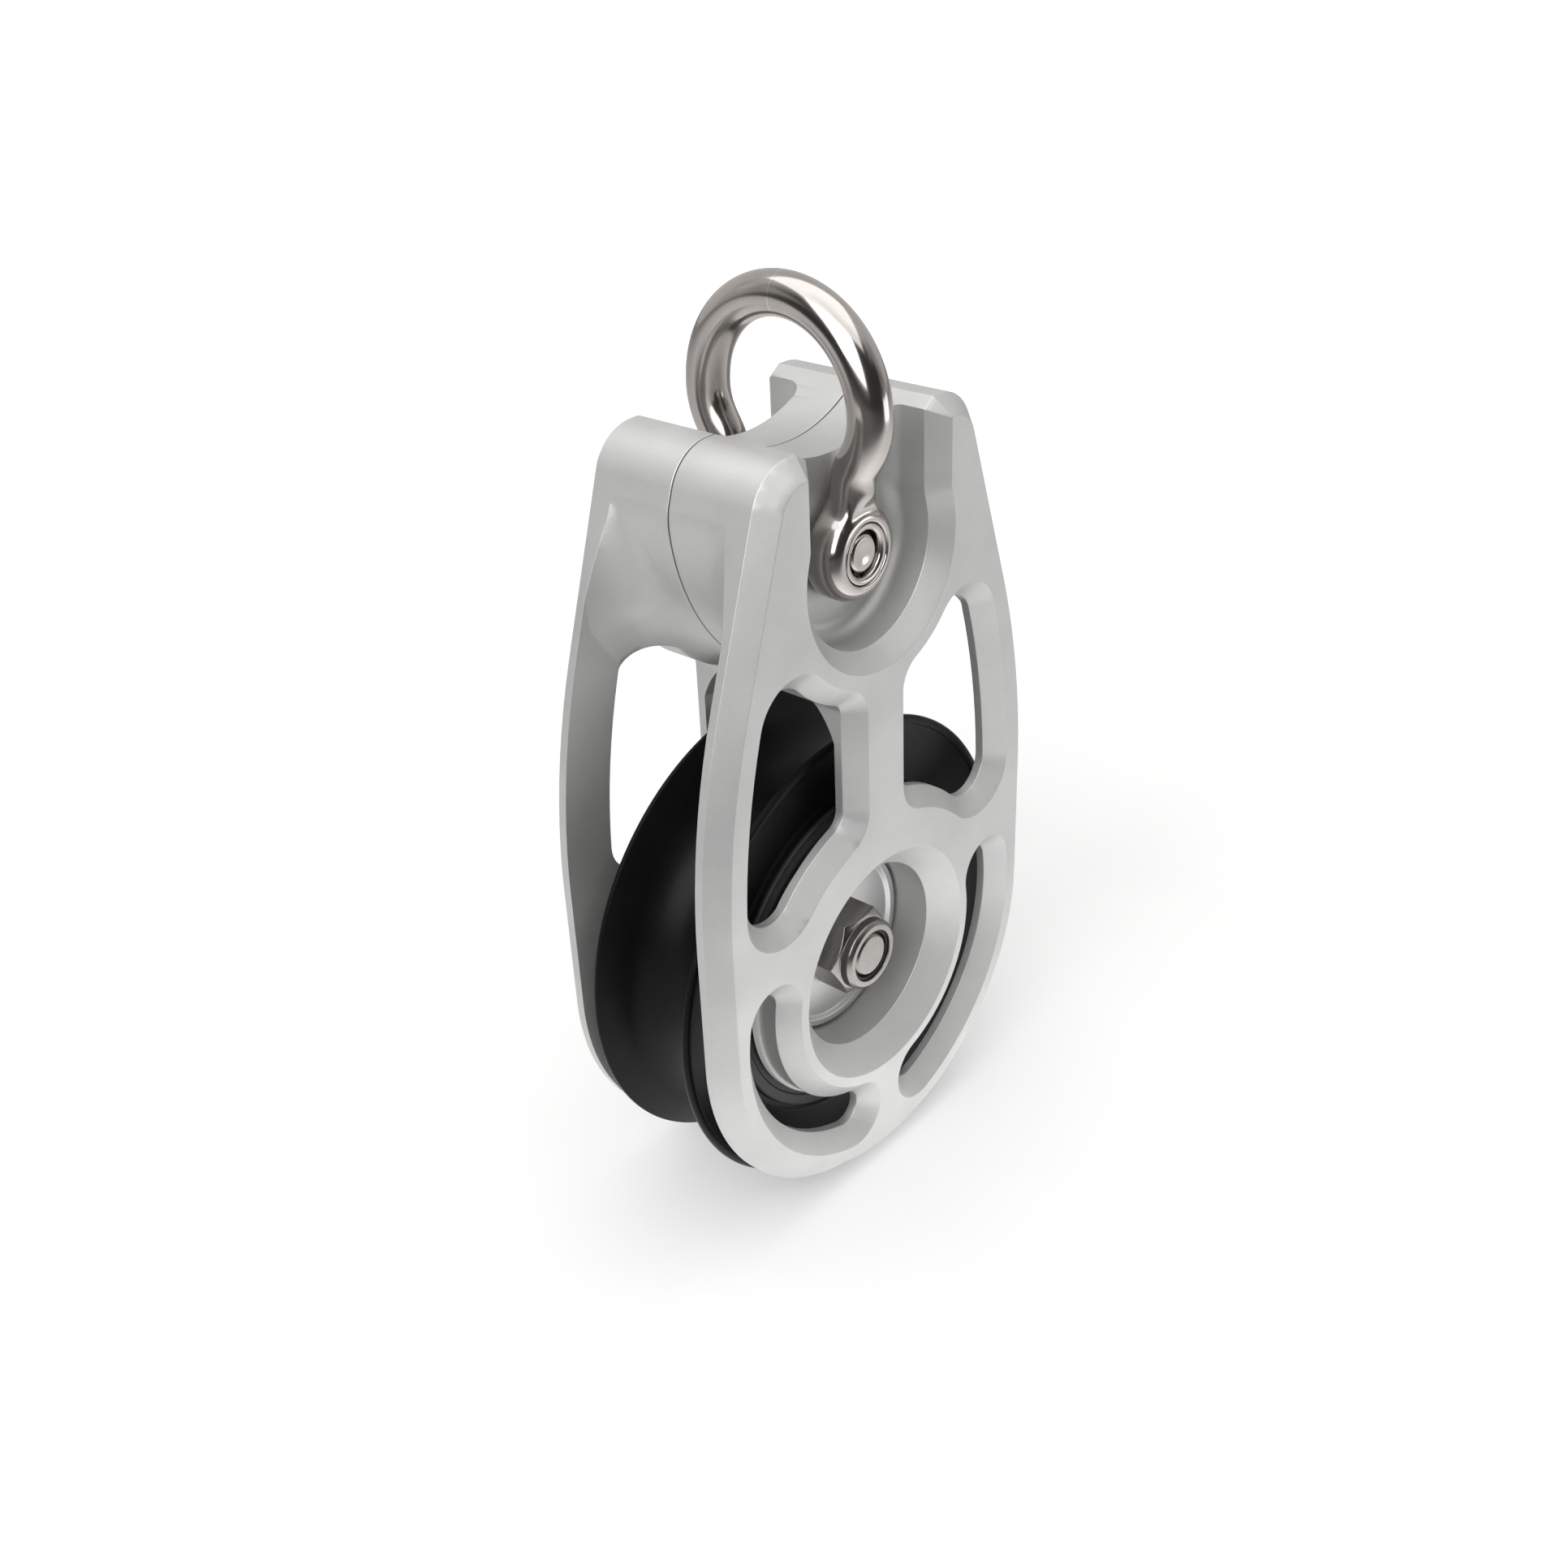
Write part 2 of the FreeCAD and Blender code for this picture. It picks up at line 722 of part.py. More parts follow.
# Caps that close the bearing at both sides and turn with the sheave
def make_bearing_cap(name, turned):
    base = "sheave_half - cap_t"
    dip = "sheave_half - cap_dip"
    return turned_piece(name, "hub_at", [
        ("race_r + cap_play", base), ("cap_r", base), ("cap_r", dip),
        ("cap_r - cap_dip", "sheave_half"), ("cap_r - cap_ridge", "sheave_half"),
        ("cap_r - cap_ridge - cap_dip", dip), ("race_r + cap_play", dip)], turned)


def make_inner_race():
    return turned_piece("inner_race", "hub_at", [
        ("hub_r + slide_play", "-sheave_half"), ("race_r", "-sheave_half"),
        ("race_r", "sheave_half"), ("hub_r + slide_play", "sheave_half")])


def make_thrust_ring(name, turned):
    return turned_piece(name, "hub_at", [
        ("hub_r + slide_play", "thrust_in"), ("land_r", "thrust_in"),
        ("land_r", "land_y"), ("hub_r + slide_play", "land_y")], turned)


# A feature repeated around the axle
def repeat_around(body, feature):
    pattern = body.newObject("PartDesign::PolarPattern", body.Name + "_pattern")
    pattern.Originals = [feature]
    pattern.Axis = (origin_of(body, "Y_Axis"), [""])
    pattern.Angle = 360
    pattern.Occurrences = int(dims.roller_count)
    tie(pattern, "Occurrences", "roller_count")
    body.Tip = pattern
    doc.recompute()


def make_rollers():
    body = new_body("rollers", "hub_at")
    sketch = new_sketch(body, "XZ_Plane", "-roller_half")
    draw_circle(sketch, ("0", "roller_at"), "roller_r")
    repeat_around(body, raise_sketch(body, sketch, "2 * roller_half"))
    return body


# Ring with one window for each roller
def make_cage():
    inner = "race_r + cage_play"
    outer = "bore_r - cage_play"
    body = turned_piece("roller_cage", "hub_at", [
        (inner, "-cage_half"), (outer, "-cage_half"), (outer, "cage_half"), (inner, "cage_half")])
    sketch = new_sketch(body, "XY_Plane")
    wide = "roller_r + window_play"
    long = "roller_half + window_play"
    draw(sketch, [(("-(" + wide + ")", "-(" + long + ")"),), ((wide, "-(" + long + ")"),),
                  ((wide, long),), (("-(" + wide + ")", long),)])
    repeat_around(body, cut_sketch(body, sketch, "bore_r", forward=True))
    return body


# Disc with a raised rim on the floor of each dish
def make_hub_disc(name, turned):
    edge = "dish_r - disc_gap"
    top = "disc_top + disc_rim_t"
    return turned_piece(name, "hub_at", [
        ("bolt_hole_r", "hub_web"), (edge, "hub_web"), (edge, top),
        (edge + " - disc_rim + disc_rim_slope", top), (edge + " - disc_rim", "disc_top"),
        ("bolt_hole_r", "disc_top")], turned)


# Hexagon that stands on a level, its outer corners turned off
def add_hexagon(body, level, length):
    sketch = new_sketch(body, "XZ_Plane", "-(" + level + ")")
    corners = []
    across = dims.hex_half / math.cos(math.pi / 6)
    for number in range(6):
        angle = number * math.pi / 3
        corners.append(((across * math.cos(angle), across * math.sin(angle)),))
    draw(sketch, corners)
    raise_sketch(body, sketch, length, back=True)
    far = "2 * hex_half"
    top = level + " + " + length
    spin(body, [[
        (("hex_half - hex_ease", top),),
        ((far, top),),
        ((far, top + " - (" + far + " - hex_half + hex_ease) * tan(hex_slope_deg)"),),
    ]], "PartDesign::Groove")


# Centre bolt, head at the rear
def make_bolt():
    body = new_body("axle_bolt", "hub_at")
    add_hexagon(body, "disc_top", "head_t")
    tip = "-(collar_top - bolt_sink)"
    spin(body, [[
        (("0", "disc_top"),),
        (("0", tip),),
        (("bolt_r - bolt_break", tip),),
        (("bolt_r", tip + " + bolt_break"),),
        (("bolt_r", "disc_top"),),
    ]])
    return body


# Self-locking nut, its collar closed over a plastic ring
def make_nut():
    body = new_body("axle_nut", "hub_at", turned=True)
    add_hexagon(body, "disc_top", "nut_hex_t")
    spin(body, [[
        (("0", "hex_top"),),
        (("collar_r", "hex_top"),),
        (("collar_r", "collar_top - bolt_break"),),
        (("collar_r - bolt_break", "collar_top"),),
        (("0", "collar_top"),),
    ]])
    spin(body, [[
        (("0", "disc_top"),),
        (("bolt_hole_r", "disc_top"),),
        (("bolt_hole_r", "insert_y"),),
        (("insert_r + slide_play", "insert_y"),),
        (("insert_r + slide_play", "collar_top - lip_t"),),
        (("bolt_r + lip_gap", "collar_top - lip_t"),),
        (("bolt_r + lip_gap", "collar_top"),),
        (("0", "collar_top"),),
    ]], "PartDesign::Groove")
    return body


def make_nut_insert():
    return turned_piece("nut_insert", "hub_at", [
        ("bolt_hole_r", "insert_y"), ("insert_r", "insert_y"),
        ("insert_r", "insert_y + insert_t"), ("bolt_hole_r", "insert_y + insert_t")], turned=True)


# Centre line of the bow, from the front eye over the top to the rear eye
def bow_path():
    middle = (0.0, value("bow_mid"))
    side = (dims.leg_y + dims.neck_r, dims.leg_z)
    touch = toward(side, middle, dims.neck_r)
    return [
        (("-leg_y", "0"),),
        (("-leg_y", "leg_z"), ("-(leg_y + neck_r)", "leg_z"), CCW),
        ((-touch[0], touch[1]), middle, CW),
        (touch, ("leg_y + neck_r", "leg_z"), CCW),
        (("leg_y", "leg_z"),),
        (("leg_y", "0"),),
    ]


# Section of one eye: (radius, distance along the pin), rounded at both faces
def eye_section(sign):
    steps = [
        (("eye_bore_r", "eye_in"),),
        (("eye_r - eye_inner_round", "eye_in"), ("eye_r - eye_inner_round", "eye_in + eye_inner_round"), CCW),
        (("eye_r", "eye_in + eye_inner_round"),),
        (("eye_r", "eye_out - eye_round"), ("eye_r - eye_round", "eye_out - eye_round"), CCW),
        (("eye_r - eye_round", "eye_out"),),
        (("eye_bore_r", "eye_out"),),
    ]
    if sign > 0:
        return steps
    flipped = []
    for step in steps:
        place = (step[0][0], opposite(step[0][1]))
        if len(step) == 1:
            flipped.append((place,))
        else:
            flipped.append((place, (step[1][0], opposite(step[1][1])), -step[2]))
    return flipped


# Bow bent from round rod, with an eye at each end
def make_bow():
    body = new_body("shackle_bow", "pin_at")
    path = new_sketch(body, "YZ_Plane")
    draw(path, bow_path(), closed=False)
    ring = new_sketch(body, "XY_Plane")
    draw_circle(ring, ("0", "-leg_y"), "rod_r")
    sweep = body.newObject("PartDesign::AdditivePipe", "bow_rod")
    sweep.Profile = ring
    sweep.Spine = path
    doc.recompute()
    spin(body, [eye_section(1), eye_section(-1)])
    hole = new_sketch(body, "XZ_Plane", "eye_out")
    draw_circle(hole, ("0", "0"), "eye_bore_r")
    cut_sketch(body, hole, "2 * eye_out")
    return body


# Pin with a shoulder at each eye
def make_pin():
    end = "eye_out - pin_sink"
    return turned_piece("shackle_pin", "pin_at", [
        ("0", "-(" + end + ")"), ("pin_end_r", "-(" + end + ")"), ("pin_end_r", "-eye_in"),
        ("pin_r", "-eye_in"), ("pin_r", "eye_in"), ("pin_end_r", "eye_in"),
        ("pin_end_r", end), ("0", end)])


def make_pin_collar(name, turned):
    top = "eye_out - ring_sink"
    return turned_piece(name, "pin_at", [
        ("ring_in_r", "eye_in + washer_play"), ("ring_out_r", "eye_in + washer_play"),
        ("ring_out_r", top + " - ring_break"), ("ring_out_r - ring_break", top),
        ("ring_in_r", top)], turned)


def make_pin_bush():
    return turned_piece("pin_bush", "pin_at", [
        ("bush_in_r", "-head_web"), ("bush_out_r", "-head_web"),
        ("bush_out_r", "head_web"), ("bush_in_r", "head_web")])


def make_eye_washer(name, turned):
    top = "eye_in - washer_play"
    return turned_piece(name, "pin_at", [
        ("bush_in_r", "head_web"), ("washer_r", "head_web"), ("washer_r", top), ("bush_in_r", top)], turned)


# Two dowels that line up the halves of the head
def make_dowels():
    body = new_body("head_dowels", "hub_at")
    sketch = new_sketch(body, "XZ_Plane", "-dowel_half")
    for sign in ("", "-"):
        draw_circle(sketch, (sign + "dowel_x", "dowel_z"), "dowel_r")
    raise_sketch(body, sketch, "2 * dowel_half")
    ends = pick_edges(body, lambda spot: abs(abs(spot.y) - dims.dowel_half) < NEAR)
    soften(body, "Chamfer", ends, "dowel_break")
    return body


bodies = [
    make_cheek("front_cheek", False),
    make_cheek("rear_cheek", True),
    make_sheave(),
    make_bearing_cap("front_bearing_cap", True),
    make_bearing_cap("rear_bearing_cap", False),
    make_inner_race(),
    make_cage(),
    make_rollers(),
    make_thrust_ring("front_thrust_ring", True),
    make_thrust_ring("rear_thrust_ring", False),
    make_hub_disc("front_hub_disc", True),
    make_hub_disc("rear_hub_disc", False),
    make_bolt(),
    make_nut(),
    make_nut_insert(),
    make_bow(),
    make_pin(),
    make_pin_collar("front_pin_collar", True),
    make_pin_collar("rear_pin_collar", False),
    make_pin_bush(),
    make_eye_washer("front_eye_washer", True),
    make_eye_washer("rear_eye_washer", False),
    make_dowels(),
]

doc.recompute()
faults = []
for item in doc.Objects:
    if "Invalid" in item.State or "Error" in item.State:
        faults.append(item.Name + " " + str(item.State))
for body in bodies:
    if body.Shape.isNull() or not body.Shape.isValid():
        faults.append(body.Label + " has no sound shape")
if faults:
    raise SystemExit("not written: " + ", ".join(faults))

os.makedirs("parts", exist_ok=True)
for body in bodies:
    body.Shape.exportStep("parts/" + body.Label + ".step")
    print(body.Label, len(body.Shape.Solids), round(body.Shape.Volume, 1))
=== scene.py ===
import math
import bmesh
import bpy
from mathutils import Matrix, Vector


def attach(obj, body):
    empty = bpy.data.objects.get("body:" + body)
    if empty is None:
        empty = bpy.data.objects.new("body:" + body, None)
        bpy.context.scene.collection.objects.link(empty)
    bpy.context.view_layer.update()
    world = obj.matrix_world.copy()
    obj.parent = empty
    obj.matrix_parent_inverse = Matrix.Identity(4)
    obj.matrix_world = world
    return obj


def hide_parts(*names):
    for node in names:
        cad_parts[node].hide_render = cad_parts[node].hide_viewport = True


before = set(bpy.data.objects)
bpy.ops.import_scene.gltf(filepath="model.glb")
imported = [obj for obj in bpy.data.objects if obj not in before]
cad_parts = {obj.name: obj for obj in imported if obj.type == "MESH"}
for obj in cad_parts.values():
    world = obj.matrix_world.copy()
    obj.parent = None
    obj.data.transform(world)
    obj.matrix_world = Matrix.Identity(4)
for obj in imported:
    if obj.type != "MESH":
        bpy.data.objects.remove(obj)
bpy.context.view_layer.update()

MM = 0.001


# The camera stands where the photograph was taken from: to the left of the front cheek,
# a little above the bow, looking down at the block about 30 degrees, through a normal lens.
lens = bpy.data.cameras.new("photo_lens")
lens.lens = 40.54
lens.sensor_width = 36.0
lens.sensor_fit = "HORIZONTAL"
lens.clip_start = 0.005
camera = bpy.data.objects.new("photo_camera", lens)
bpy.context.scene.collection.objects.link(camera)
turn = Matrix.Rotation(math.radians(-48.0167), 4, "Z")
tip = Matrix.Rotation(math.radians(90 - 29.6008), 4, "X")
roll = Matrix.Rotation(math.radians(-2.4117), 4, "Z")
camera.matrix_world = Matrix.Translation((-139.9 * MM, -123.2 * MM, 49.2 * MM)) @ turn @ tip @ roll
bpy.context.scene.camera = camera


# The two cheeks: each is milled from a block of aluminium alloy, bead blasted all over
# and clear anodised, with every edge of the machining just broken by the blasting.
def worked(name, dark, light, metal, rough, grain, depth, patch=90.0, fleck=0.15):
    finish = bpy.data.materials.new(name)
    finish.use_nodes = True
    nodes = finish.node_tree.nodes
    link = finish.node_tree.links.new
    skin = nodes["Principled BSDF"]
    skin.inputs["Metallic"].default_value = metal
    place = nodes.new("ShaderNodeTexCoord")
    fine = nodes.new("ShaderNodeTexNoise")
    fine.inputs["Scale"].default_value = grain
    fine.inputs["Detail"].default_value = 3.0
    link(place.outputs["Object"], fine.inputs["Vector"])
    cloud = nodes.new("ShaderNodeTexNoise")
    cloud.inputs["Scale"].default_value = patch
    cloud.inputs["Detail"].default_value = 4.0
    link(place.outputs["Object"], cloud.inputs["Vector"])
    shade = nodes.new("ShaderNodeValToRGB")
    shade.color_ramp.elements[0].position = 0.3
    shade.color_ramp.elements[0].color = (*dark, 1)
    shade.color_ramp.elements[1].position = 0.7
    shade.color_ramp.elements[1].color = (*light, 1)
    link(cloud.outputs["Fac"], shade.inputs["Fac"])
    speck = nodes.new("ShaderNodeMix")
    speck.data_type = "RGBA"
    speck.blend_type = "OVERLAY"
    speck.inputs["Factor"].default_value = fleck
    link(shade.outputs["Color"], speck.inputs["A"])
    link(fine.outputs["Fac"], speck.inputs["B"])
    link(speck.outputs["Result"], skin.inputs["Base Color"])
    spread = nodes.new("ShaderNodeMapRange")
    spread.inputs["To Min"].default_value = rough[0]
    spread.inputs["To Max"].default_value = rough[1]
    link(fine.outputs["Fac"], spread.inputs["Value"])
    link(spread.outputs["Result"], skin.inputs["Roughness"])
    bump = nodes.new("ShaderNodeBump")
    bump.name = "surface_bump"
    bump.inputs["Strength"].default_value = 0.4
    bump.inputs["Distance"].default_value = depth
    link(fine.outputs["Fac"], bump.inputs["Height"])
    link(bump.outputs["Normal"], skin.inputs["Normal"])
    return finish


def only(piece):
    bpy.ops.object.select_all(action="DESELECT")
    piece.select_set(True)
    bpy.context.view_layer.objects.active = piece


# A merged copy of a CAD node with its edges broken, which then stands for the node
def broken_edges(name, node, width, steps=2):
    weld_within = 0.002 * MM
    flat_within = math.radians(0.3)
    edge_from = math.radians(22)
    sharp_from = math.radians(35)
    piece = bpy.data.objects.new(name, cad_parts[node].data.copy())
    bpy.context.scene.collection.objects.link(piece)
    only(piece)
    if piece.data.has_custom_normals:
        bpy.ops.mesh.customdata_custom_splitnormals_clear()
    bpy.ops.object.mode_set(mode="EDIT")
    bpy.ops.mesh.select_all(action="SELECT")
    bpy.ops.mesh.remove_doubles(threshold=weld_within)
    bpy.ops.mesh.dissolve_limited(angle_limit=flat_within, delimit={"NORMAL"})
    bpy.ops.object.mode_set(mode="OBJECT")
    edge = piece.modifiers.new("broken_edge", "BEVEL")
    edge.width = width
    edge.segments = steps
    edge.limit_method = "ANGLE"
    edge.angle_limit = edge_from
    edge.miter_outer = "MITER_ARC"
    edge.use_clamp_overlap = False
    bpy.ops.object.modifier_apply(modifier="broken_edge")
    bpy.ops.object.shade_smooth_by_angle(angle=sharp_from)
    flat = piece.modifiers.new("flat_faces", "WEIGHTED_NORMAL")
    flat.keep_sharp = True
    bpy.ops.object.modifier_apply(modifier="flat_faces")
    return piece


# Gives a piece its finish and the body it moves with, and hides the CAD nodes it stands for
def settle(piece, finish, body, slot, *nodes):
    piece.data.materials.clear()
    piece.data.materials.append(finish)
    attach(piece, body)
    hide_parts(*nodes)


# A fine line painted along the middle plane: on the cheeks it is painted shade in the seam between
# the two halves, on the bow a painted highlight along the weld
def painted_middle_line(finish, half_width, colour):
    nodes = finish.node_tree.nodes
    link = finish.node_tree.links.new
    skin = nodes["Principled BSDF"]
    place = nodes.new("ShaderNodeTexCoord")
    apart = nodes.new("ShaderNodeSeparateXYZ")
    link(place.outputs["Object"], apart.inputs["Vector"])
    off_plane = nodes.new("ShaderNodeMath")
    off_plane.operation = "ABSOLUTE"
    link(apart.outputs["Y"], off_plane.inputs[0])
    # Mask of the painted line: one within half_width of the middle plane
    on_painted_line = nodes.new("ShaderNodeMapRange")
    on_painted_line.inputs["From Min"].default_value = half_width * 0.8
    on_painted_line.inputs["From Max"].default_value = half_width * 1.3
    on_painted_line.inputs["To Min"].default_value = 1.0
    on_painted_line.inputs["To Max"].default_value = 0.0
    link(off_plane.outputs["Value"], on_painted_line.inputs["Value"])
    shade = nodes.new("ShaderNodeMix")
    shade.data_type = "RGBA"
    shade.inputs["B"].default_value = (*colour, 1)
    link(on_painted_line.outputs["Result"], shade.inputs["Factor"])
    link(skin.inputs["Base Color"].links[0].from_socket, shade.inputs["A"])
    link(shade.outputs["Result"], skin.inputs["Base Color"])


blasted = worked(
    "blasted_aluminium", (0.50, 0.505, 0.50), (0.58, 0.58, 0.57),
    metal=0.72, rough=(0.44, 0.54), grain=9000.0, depth=0.02 * MM)
# Painted shade: a dark line in the seam where the two halves of the head meet
painted_middle_line(blasted, 0.1 * MM, (0.14, 0.14, 0.14))
for side in ("front", "rear"):
    cheek = broken_edges(side + "_milled_cheek", side + "_cheek", 0.06 * MM)
    settle(cheek, blasted, "cheeks", "cheek", side + "_cheek")


# The sheave: turned from aluminium bar and hard anodised black, with a round groove for
# the rope, thin rolled rims, and a shallow dish in each side around the bearing.
def turning_marks(finish, height, spacing, strength):
    nodes = finish.node_tree.nodes
    link = finish.node_tree.links.new
    place = nodes.new("ShaderNodeTexCoord")
    centre = nodes.new("ShaderNodeMapping")
    centre.inputs["Location"].default_value = (0, 0, -height * MM)
    rings = nodes.new("ShaderNodeTexWave")
    rings.wave_type = "RINGS"
    rings.rings_direction = "Y"
    rings.inputs["Scale"].default_value = 1 / (spacing * MM * 2 * math.pi)
    rings.inputs["Distortion"].default_value = 0.8
    rings.inputs["Detail"].default_value = 1.0
    link(place.outputs["Object"], centre.inputs["Vector"])
    link(centre.outputs["Vector"], rings.inputs["Vector"])
    cut = nodes.new("ShaderNodeBump")
    cut.inputs["Strength"].default_value = strength
    cut.inputs["Distance"].default_value = 0.01 * MM
    link(rings.outputs["Fac"], cut.inputs["Height"])
    link(nodes["surface_bump"].outputs["Normal"], cut.inputs["Normal"])
    link(cut.outputs["Normal"], nodes["Principled BSDF"].inputs["Normal"])


# Draws one point along a profile of (radius, distance along the axle) and spins it
def turned(name, height, profile, steps, rounding=0.0, round_steps=3):
    edge_from = math.radians(25)
    sharp_from = math.radians(30)
    bpy.ops.object.select_all(action="DESELECT")
    first = Vector((profile[0][0] * MM, profile[0][1] * MM, height * MM))
    bpy.ops.mesh.primitive_plane_add(size=MM, location=first)
    piece = bpy.context.object
    piece.name = name
    bpy.ops.object.transform_apply(location=True, rotation=True, scale=True)
    bpy.ops.object.mode_set(mode="EDIT")
    bpy.ops.mesh.select_mode(type="VERT")
    bpy.ops.mesh.select_all(action="SELECT")
    bpy.ops.mesh.merge(type="CENTER")
    for here, there in zip(profile, profile[1:] + profile[:1]):
        move = ((there[0] - here[0]) * MM, (there[1] - here[1]) * MM, 0)
        bpy.ops.mesh.extrude_region_move(TRANSFORM_OT_translate={"value": move})
    bpy.ops.mesh.select_all(action="SELECT")
    bpy.ops.mesh.remove_doubles(threshold=0.001 * MM)
    bpy.ops.mesh.spin(steps=steps, angle=2 * math.pi, center=(0, 0, height * MM), axis=(0, 1, 0))
    bpy.ops.mesh.select_all(action="SELECT")
    bpy.ops.mesh.remove_doubles(threshold=0.002 * MM)
    bpy.ops.mesh.delete_loose()
    bpy.ops.mesh.select_all(action="SELECT")
    bpy.ops.mesh.normals_make_consistent(inside=False)
    bpy.ops.object.mode_set(mode="OBJECT")
    if rounding:
        edge = piece.modifiers.new("rolled_edge", "BEVEL")
        edge.width = rounding * MM
        edge.segments = round_steps
        edge.limit_method = "ANGLE"
        edge.angle_limit = edge_from
        bpy.ops.object.modifier_apply(modifier="rolled_edge")
    bpy.ops.object.shade_smooth_by_angle(angle=sharp_from)
    return piece


HUB = -77.505
rim_r, mouth_half = 30.0, 6.9
rope_middle, rope_r = 28.0, 6.0
groove_steps = 24
lean = math.atan2(mouth_half, rim_r - rope_middle)
lean += math.acos(rope_r / math.hypot(mouth_half, rim_r - rope_middle))
side_profile = [
    (18.45, 6.2), (21.23, 6.2), (21.23, 7.1), (22.3, 7.1), (22.3, 6.6),
    (28.9, 7.1), (28.9, 7.35), (29.1, 7.6), (29.75, 7.6), (rim_r, 7.35),
    (rim_r, mouth_half),
]
groove = []
for step in range(groove_steps + 1):
    swing = lean + (2 * math.pi - 2 * lean) * step / groove_steps
    groove.append((rope_middle + rope_r * math.cos(swing), rope_r * math.sin(swing)))
other_side = [(radius, -along) for radius, along in reversed(side_profile)]
wheel = turned("turned_sheave", HUB, side_profile + groove + other_side, 160, 0.12, 2)
black = worked(
    "black_anodised", (0.0045, 0.0045, 0.005), (0.009, 0.009, 0.0095),
    metal=0.35, rough=(0.34, 0.44), grain=5000.0, depth=0.004 * MM)
black.node_tree.nodes["Principled BSDF"].inputs["Specular IOR Level"].default_value = 0.13
turning_marks(black, HUB, 0.22, 0.15)
settle(wheel, black, "sheave", "sheave", "sheave")


# Bearing caps: moulded black rings that close the rollers in at both sides of the sheave,
# each with a low ridge around its edge.
cap_plastic = worked(
    "moulded_black", (0.012, 0.012, 0.013), (0.018, 0.018, 0.019),
    metal=0.0, rough=(0.45, 0.6), grain=6000.0, depth=0.008 * MM)
for side in ("front", "rear"):
    cap = broken_edges(side + "_moulded_cap", side + "_bearing_cap", 0.06 * MM)
    settle(cap, cap_plastic, "sheave", "cap", side + "_bearing_cap")


# Hub discs: thin turned washers of aluminium with a raised rim, left bare of any mark,
# on the floor of each dish under the nut and the bolt's head.
satin = worked(
    "satin_disc", (0.55, 0.56, 0.56), (0.62, 0.62, 0.62),
    metal=0.85, rough=(0.3, 0.4), grain=7000.0, depth=0.005 * MM)
turning_marks(satin, HUB, 0.12, 0.25)
for side in ("front", "rear"):
    disc = broken_edges(side + "_turned_disc", side + "_hub_disc", 0.08 * MM)
    settle(disc, satin, "cheeks", "disc", side + "_hub_disc")


# Centre bolt and its self-locking nut: cold-forged stainless steel, with a turned collar on
# the nut that is closed over a black locking ring. The bolt's end stands just inside it.
plain_steel = worked(
    "plain_steel", (0.25, 0.237, 0.225), (0.31, 0.295, 0.28),
    metal=1.0, rough=(0.2, 0.3), grain=2500.0, depth=0.003 * MM)
bolt = broken_edges("forged_bolt", "axle_bolt", 0.1 * MM, steps=3)
settle(bolt, plain_steel, "cheeks", "fastener", "axle_bolt")
nut = broken_edges("locking_nut", "axle_nut", 0.12 * MM, steps=3)
settle(nut, plain_steel, "cheeks", "fastener", "axle_nut")
ring = broken_edges("locking_ring", "nut_insert", 0.04 * MM)
ring_plastic = worked(
    "locking_ring_black", (0.01, 0.01, 0.01), (0.016, 0.016, 0.016),
    metal=0.0, rough=(0.5, 0.65), grain=6000.0, depth=0.005 * MM)
settle(ring, ring_plastic, "cheeks", "insert", "nut_insert")


# The shackle's bow: round stainless rod bent to a loop with a forged eye at each leg, welded
# at the top of the loop and mirror polished all over. Its necks run smoothly into the eyes.
PIN = -24.355
leg_y, neck_r, turn_r = 9.0, 5.5, 8.0
bow_r, bow_mid, rod_r = 11.6, 15.255, 2.5
bend = math.acos(1 - (bow_r - leg_y) / (neck_r + turn_r))
leg_top = bow_mid - (neck_r + turn_r) * math.sin(bend)
rod_sides, eye_sides = 16, 24
# Smoothing draws a ring of corners inwards, so both rings start a little larger
rod_cage = rod_r / (2 / 3 + math.cos(2 * math.pi / rod_sides) / 3)
eye_cage = 1 / (2 / 3 + math.cos(2 * math.pi / eye_sides) / 3)
eye_profile = [
    (3.52, 9.0), (3.52, 6.6), (3.7, 6.4), (5.0, 6.4), (5.55, 6.7), (5.7, 7.4), (5.7, 8.9),
    (5.5, 9.8), (5.0, 10.5), (4.35, 10.9), (3.75, 10.95), (3.54, 10.75), (3.52, 10.1),
]
eye_corners = [(radius * eye_cage, -along) for radius, along in eye_profile]
bow = turned("polished_bow", PIN, eye_corners, eye_sides)

# The top of the eye is opened where the leg runs into it
open_from, open_rise = 5.0, 0.87
open_front, open_back = -10.3 * MM, -6.9 * MM
only(bow)
bpy.ops.object.mode_set(mode="EDIT")
bpy.ops.mesh.select_mode(type="FACE")
bpy.ops.mesh.select_all(action="DESELECT")
cage = bmesh.from_edit_mesh(bow.data)
for face in cage.faces:
    middle = face.calc_center_median()
    rise = (middle.z - PIN * MM) / MM
    outward = math.hypot(middle.x / MM, rise)
    on_top = outward > open_from and rise > open_rise * outward
    face.select = on_top and open_front < middle.y < open_back
bmesh.update_edit_mesh(bow.data)
bpy.ops.mesh.delete(type="FACE")
bpy.ops.object.mode_set(mode="OBJECT")

# The rod of one leg and half of the loop, drawn upwards from just above the eye
leg_foot = 6.6
foot = (0, -leg_y * MM, (PIN + leg_foot) * MM)
bpy.ops.object.select_all(action="DESELECT")
bpy.ops.mesh.primitive_circle_add(vertices=rod_sides, radius=rod_cage * MM, location=foot)
bpy.ops.object.transform_apply(location=True, rotation=True, scale=True)
bpy.ops.object.mode_set(mode="EDIT")
bpy.ops.mesh.select_mode(type="EDGE")
bpy.ops.mesh.select_all(action="SELECT")
bpy.ops.mesh.extrude_region_move(TRANSFORM_OT_translate={"value": (0, 0, (leg_top - leg_foot) * MM)})
neck_mid = (0, -(leg_y + neck_r) * MM, (PIN + leg_top) * MM)
bpy.ops.mesh.spin(steps=4, angle=-bend, axis=(1, 0, 0), center=neck_mid)
turn_mid = (0, -(bow_r - turn_r) * MM, (PIN + bow_mid) * MM)
